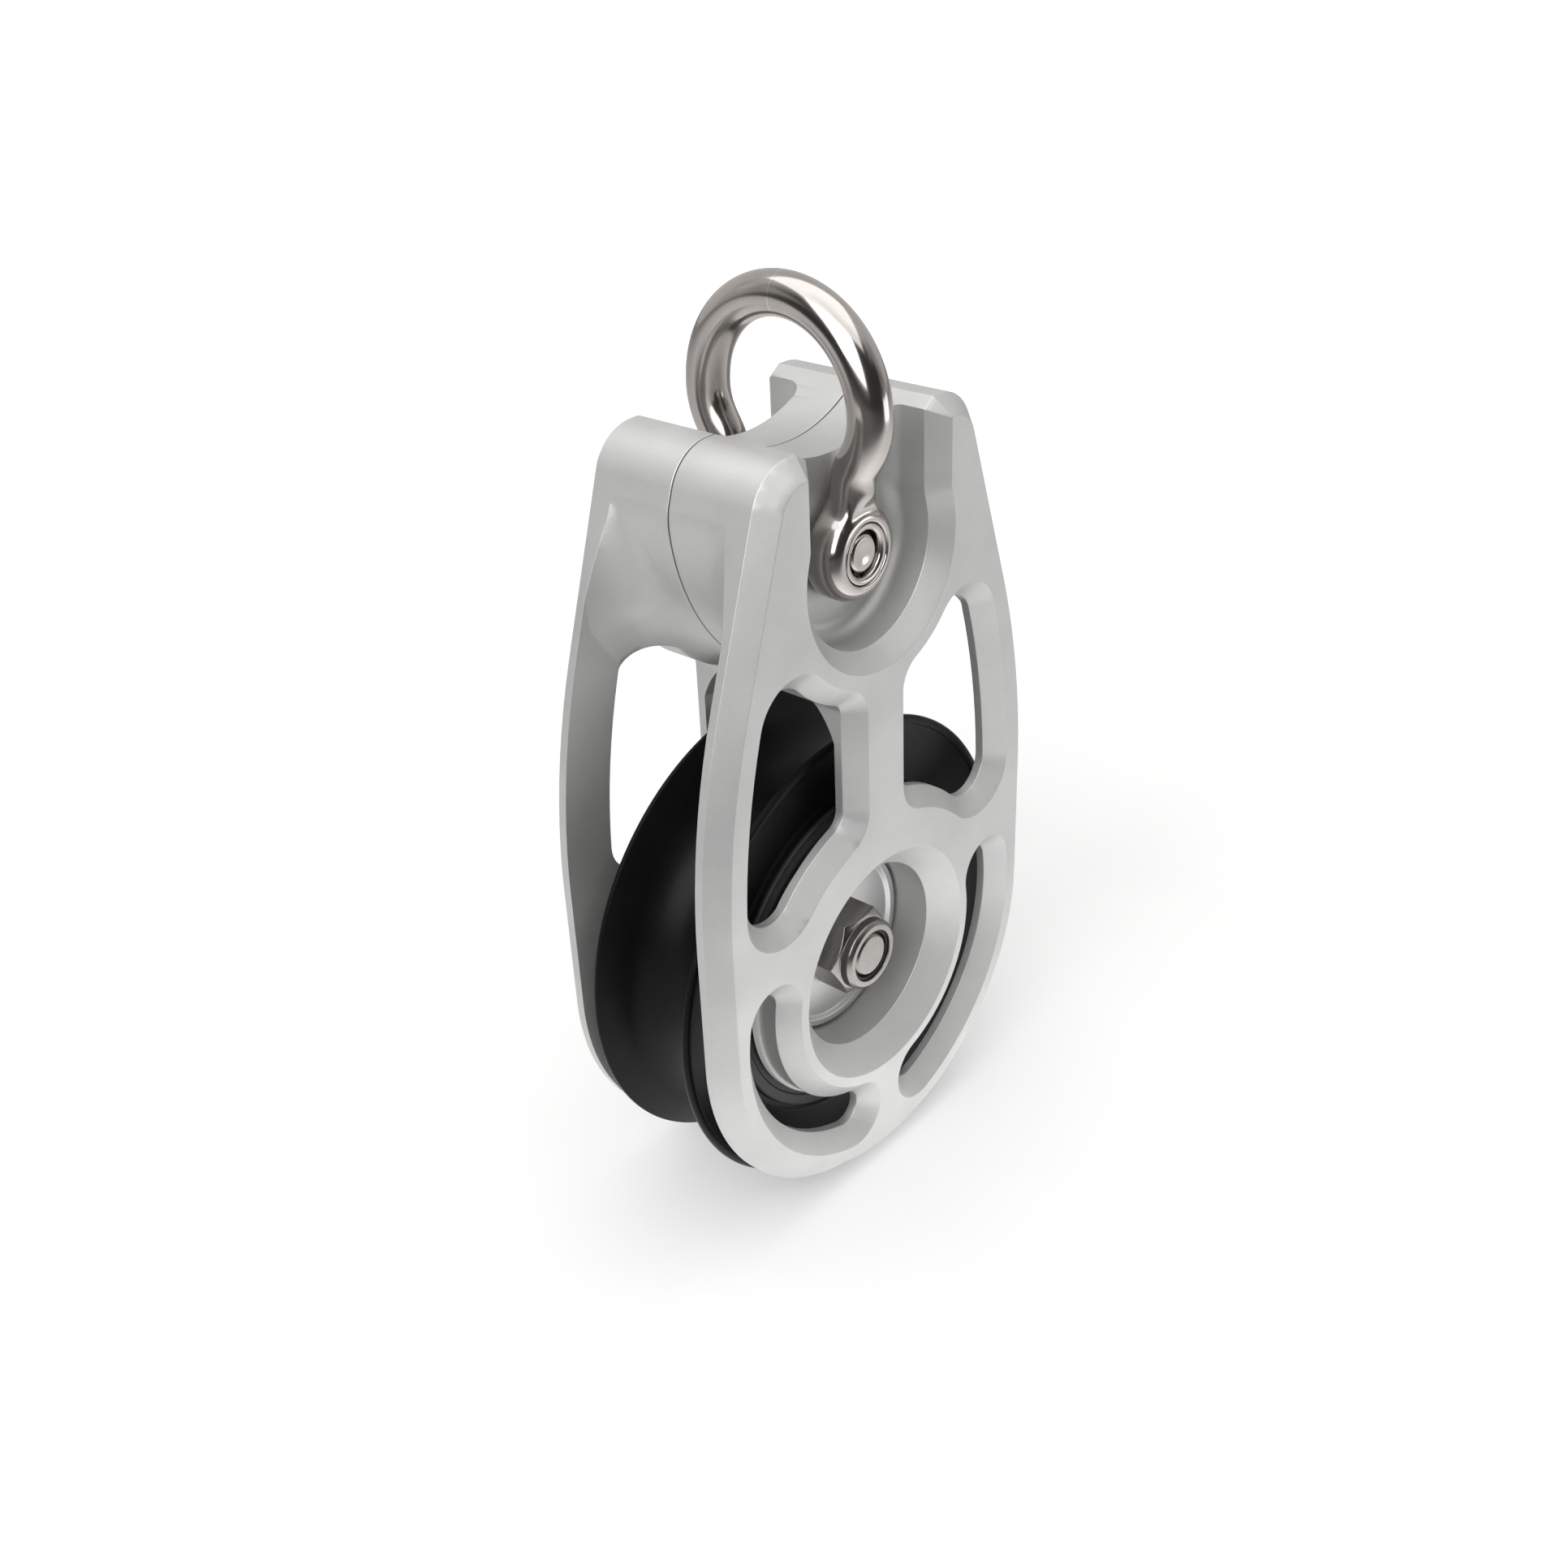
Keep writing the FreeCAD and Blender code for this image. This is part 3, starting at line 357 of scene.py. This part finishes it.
bpy.ops.mesh.spin(steps=4, angle=bend, axis=(1, 0, 0), center=turn_mid)
loop_mid = (0, 0, (PIN + bow_mid) * MM)
bpy.ops.mesh.spin(steps=10, angle=math.pi / 2, axis=(1, 0, 0), center=loop_mid)
bpy.ops.object.mode_set(mode="OBJECT")

# Rod and eye are joined over the opening, mirrored to the rear leg and smoothed
bow.select_set(True)
bpy.context.view_layer.objects.active = bow
bpy.ops.object.join()
bpy.ops.object.mode_set(mode="EDIT")
bpy.ops.mesh.select_mode(type="EDGE")
bpy.ops.mesh.select_all(action="DESELECT")
cage = bmesh.from_edit_mesh(bow.data)
for edge in cage.edges:
    middle = (edge.verts[0].co + edge.verts[1].co) / 2
    at_foot = middle.z < (PIN + leg_foot + 0.4) * MM
    edge.select = edge.is_boundary and at_foot
bmesh.update_edit_mesh(bow.data)
bpy.ops.mesh.bridge_edge_loops()
bpy.ops.mesh.select_all(action="SELECT")
bpy.ops.mesh.normals_make_consistent(inside=False)
bpy.ops.object.mode_set(mode="OBJECT")
other_leg = bow.modifiers.new("other_leg", "MIRROR")
other_leg.use_axis = (False, True, False)
other_leg.merge_threshold = 0.01 * MM
bpy.ops.object.modifier_apply(modifier="other_leg")
smooth = bow.modifiers.new("smooth_bow", "SUBSURF")
smooth.levels = 3
smooth.render_levels = 3
bpy.ops.object.modifier_apply(modifier="smooth_bow")
bpy.ops.object.shade_smooth()
polished = worked(
    "polished_stainless", (0.46, 0.43, 0.41), (0.52, 0.49, 0.47),
    metal=1.0, rough=(0.12, 0.18), grain=700.0, depth=0.0008 * MM, patch=160.0, fleck=0.04)
# Painted highlight: a lighter line along the weld at the top of the loop
painted_middle_line(polished, 0.07 * MM, (0.62, 0.59, 0.57))
settle(bow, polished, "shackle", "stainless", "shackle_bow")


# The shackle's pin and its two collars: turned stainless steel, polished at the ends. A
# narrow dark gap is left between the pin's broken end and the collar pressed around it.
half_pin = [
    (0.0, 10.35), (0.7, 10.35), (1.15, 10.5), (1.85, 10.5), (2.15, 10.25),
    (2.2, 9.2), (2.45, 9.0), (2.45, 6.4), (3.0, 6.4),
]
pin_profile = half_pin + [(radius, -along) for radius, along in reversed(half_pin)]
pin = turned("turned_pin", PIN, pin_profile, 96, 0.06, 2)
settle(pin, polished, "shackle", "stainless", "shackle_pin")
collar_profile = [
    (2.48, 6.45), (3.48, 6.45), (3.48, 10.75), (3.3, 10.85),
    (2.95, 10.8), (2.7, 10.6), (2.6, 10.3), (2.48, 9.0),
]
for side, sign in (("front", -1), ("rear", 1)):
    outline = [(radius, sign * along) for radius, along in collar_profile]
    collar = turned(side + "_turned_collar", PIN, outline, 96, 0.08, 3)
    settle(collar, polished, "shackle", "stainless", side + "_pin_collar")


# Inside the hub: a ground steel race, moulded rollers in their cage and a white slide ring
# at each side. They show only through the slots, and keep their CAD shapes.
def dress(node, finish):
    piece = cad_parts[node]
    piece.data.materials.clear()
    piece.data.materials.append(finish)


ground = worked(
    "ground_steel", (0.50, 0.50, 0.50), (0.58, 0.58, 0.57),
    metal=1.0, rough=(0.18, 0.26), grain=3000.0, depth=0.002 * MM)
natural = worked(
    "natural_plastic", (0.50, 0.45, 0.36), (0.56, 0.51, 0.41),
    metal=0.0, rough=(0.4, 0.5), grain=2500.0, depth=0.004 * MM)
amber = worked(
    "bearing_plastic", (0.36, 0.30, 0.16), (0.42, 0.36, 0.20),
    metal=0.0, rough=(0.28, 0.38), grain=2500.0, depth=0.003 * MM)
white = worked(
    "slide_plastic", (0.76, 0.76, 0.73), (0.82, 0.82, 0.79),
    metal=0.0, rough=(0.4, 0.5), grain=2500.0, depth=0.004 * MM)
dress("inner_race", ground)
dress("roller_cage", natural)
dress("rollers", amber)
for side in ("front", "rear"):
    dress(side + "_thrust_ring", white)


# Inside the head: a dark plastic bush for the pin, a thin washer of the same plastic under
# each eye, and two ground dowels that line up the halves.
dark = worked(
    "bush_plastic", (0.09, 0.09, 0.09), (0.12, 0.12, 0.12),
    metal=0.0, rough=(0.45, 0.55), grain=2500.0, depth=0.004 * MM)
dress("pin_bush", dark)
for side in ("front", "rear"):
    dress(side + "_eye_washer", dark)
dress("head_dowels", ground)


# The floor: wide, pale and plain, under the block's sheave. To the camera a glow lifts it to white,
# more so away from the block; in the metal's reflections it carries a painted pool of light to the
# front right and a painted dark patch towards the camera.
pale = worked(
    "pale_floor", (0.50, 0.50, 0.50), (0.51, 0.51, 0.51),
    metal=0.0, rough=(0.8, 0.9), grain=60.0, depth=0.01 * MM, patch=3.0, fleck=0.02)
paper = pale.node_tree.nodes
tie = pale.node_tree.links.new
glow = paper["Principled BSDF"]
glow.inputs["Emission Color"].default_value = (1, 1, 1, 1)
ray = paper.new("ShaderNodeLightPath")
spot = paper.new("ShaderNodeTexCoord")


def ranged(value, low, high, at_low=0.0, at_high=1.0):
    node = paper.new("ShaderNodeMapRange")
    node.inputs["From Min"].default_value = low
    node.inputs["From Max"].default_value = high
    node.inputs["To Min"].default_value = at_low
    node.inputs["To Max"].default_value = at_high
    tie(value, node.inputs["Value"])
    return node.outputs["Result"]


def times(first, second):
    node = paper.new("ShaderNodeMath")
    node.operation = "MULTIPLY"
    tie(first, node.inputs[0])
    tie(second, node.inputs[1])
    return node.outputs["Value"]


def towards(direction):
    node = paper.new("ShaderNodeVectorMath")
    node.operation = "DOT_PRODUCT"
    node.inputs[1].default_value = direction
    tie(spot.outputs["Object"], node.inputs[0])
    return node.outputs["Value"]


reach = paper.new("ShaderNodeVectorMath")
reach.operation = "LENGTH"
tie(spot.outputs["Object"], reach.inputs[0])
fall = paper.new("ShaderNodeMath")
fall.operation = "DIVIDE"
fall.inputs[0].default_value = 0.045
tie(reach.outputs["Value"], fall.inputs[1])
# Painted pool of light on the floor, seen only in glossy reflections: bright near the block and to
# the front right, fading towards the camera's side
painted_pool = paper.new("ShaderNodeMath")
painted_pool.operation = "MINIMUM"
painted_pool.inputs[1].default_value = 1.3
tie(fall.outputs["Value"], painted_pool.inputs[0])
nearer = towards((-0.74, -0.67, 0.0))
lit = ranged(nearer, 0.05, 0.25, 1.0, 0.1)
side_share = ranged(towards((0.5, -0.85, 0.0)), -0.05, 0.05, 0.35, 1.0)
painted_pool_glow = times(times(painted_pool.outputs["Value"], side_share), lit)
# Emission: a glow for camera rays that rises away from the block, plus the painted pool for glossy
# rays
lift = paper.new("ShaderNodeMath")
lift.operation = "MULTIPLY_ADD"
tie(ray.outputs["Is Camera Ray"], lift.inputs[0])
tie(ranged(reach.outputs["Value"], 0.08, 0.45, 0.34, 0.85), lift.inputs[1])
tie(times(painted_pool_glow, ray.outputs["Is Glossy Ray"]), lift.inputs[2])
tie(lift.outputs["Value"], glow.inputs["Emission Strength"])
# Painted dark reflection: the floor's colour turns dark in glossy rays towards the camera's side
painted_dark_reflection = paper.new("ShaderNodeMix")
painted_dark_reflection.data_type = "RGBA"
painted_dark_reflection.inputs["B"].default_value = (0.05, 0.05, 0.05, 1)
tie(times(ranged(nearer, 0.06, 0.15), ray.outputs["Is Glossy Ray"]), painted_dark_reflection.inputs["Factor"])
tie(glow.inputs["Base Color"].links[0].from_socket, painted_dark_reflection.inputs["A"])
tie(painted_dark_reflection.outputs["Result"], glow.inputs["Base Color"])
bpy.ops.object.select_all(action="DESELECT")
bpy.ops.mesh.primitive_plane_add(size=6.0, location=(0, 0, (HUB - rim_r) * MM))
floor = bpy.context.object
floor.name = "pale_floor"
floor.data.materials.append(pale)


# The air of the studio: soft and pale with loose drapes, darker on the camera's side, and
# plain white where the camera sees it.
air = bpy.data.worlds.new("studio_air")
bpy.context.scene.world = air
air.use_nodes = True
tree = air.node_tree.nodes
join = air.node_tree.links.new
room = tree["Background"]
around = tree.new("ShaderNodeTexCoord")
lean_in = tree.new("ShaderNodeVectorMath")
lean_in.operation = "DOT_PRODUCT"
lean_in.inputs[1].default_value = (-0.70, -0.62, -0.35)
join(around.outputs["Generated"], lean_in.inputs[0])
drapes = tree.new("ShaderNodeTexNoise")
drapes.inputs["Scale"].default_value = 2.2
drapes.inputs["Detail"].default_value = 1.0
join(around.outputs["Generated"], drapes.inputs["Vector"])
stir = tree.new("ShaderNodeMath")
stir.operation = "MULTIPLY_ADD"
stir.inputs[1].default_value = 1.4
join(drapes.outputs["Fac"], stir.inputs[0])
join(lean_in.outputs["Value"], stir.inputs[2])
tone = tree.new("ShaderNodeValToRGB")
tone.color_ramp.elements[0].position = 0.35
tone.color_ramp.elements[0].color = (1.0, 0.985, 0.965, 1)
tone.color_ramp.elements[1].position = 1.0
tone.color_ramp.elements[1].color = (0.08, 0.078, 0.075, 1)
join(stir.outputs["Value"], tone.inputs["Fac"])
join(tone.outputs["Color"], room.inputs["Color"])
room.inputs["Strength"].default_value = 0.68
backdrop = tree.new("ShaderNodeBackground")
backdrop.inputs["Color"].default_value = (1, 1, 1, 1)
backdrop.inputs["Strength"].default_value = 1.0
seen = tree.new("ShaderNodeLightPath")
choose = tree.new("ShaderNodeMixShader")
join(seen.outputs["Is Camera Ray"], choose.inputs["Fac"])
join(room.outputs["Background"], choose.inputs[1])
join(backdrop.outputs["Background"], choose.inputs[2])
join(choose.outputs["Shader"], tree["World Output"].inputs["Surface"])


# Three soft lamps: a large one above, one at the left, and a small one low at the right that
# lifts the foot of the front cheek.
def softbox(name, place, aim, size, power):
    lamp = bpy.data.lights.new(name, "AREA")
    lamp.shape = "RECTANGLE"
    lamp.size, lamp.size_y = size
    lamp.energy = power
    stand = bpy.data.objects.new(name, lamp)
    bpy.context.scene.collection.objects.link(stand)
    stand.location = Vector(place)
    stand.rotation_euler = (Vector(aim) - Vector(place)).to_track_quat("-Z", "Y").to_euler()
    stand.visible_camera = False


softbox("top_softbox", (-0.05, -0.05, 0.6), (0, 0, -0.05), (1.0, 0.9), 4.2)
softbox("left_softbox", (-0.56, -0.2, 0.34), (0, 0, -0.05), (0.7, 0.6), 5.0)
softbox("low_softbox", (0.22, -0.3, -0.06), (0.02, 0, -0.095), (0.2, 0.1), 0.12)

bpy.context.scene.view_settings.view_transform = "Standard"
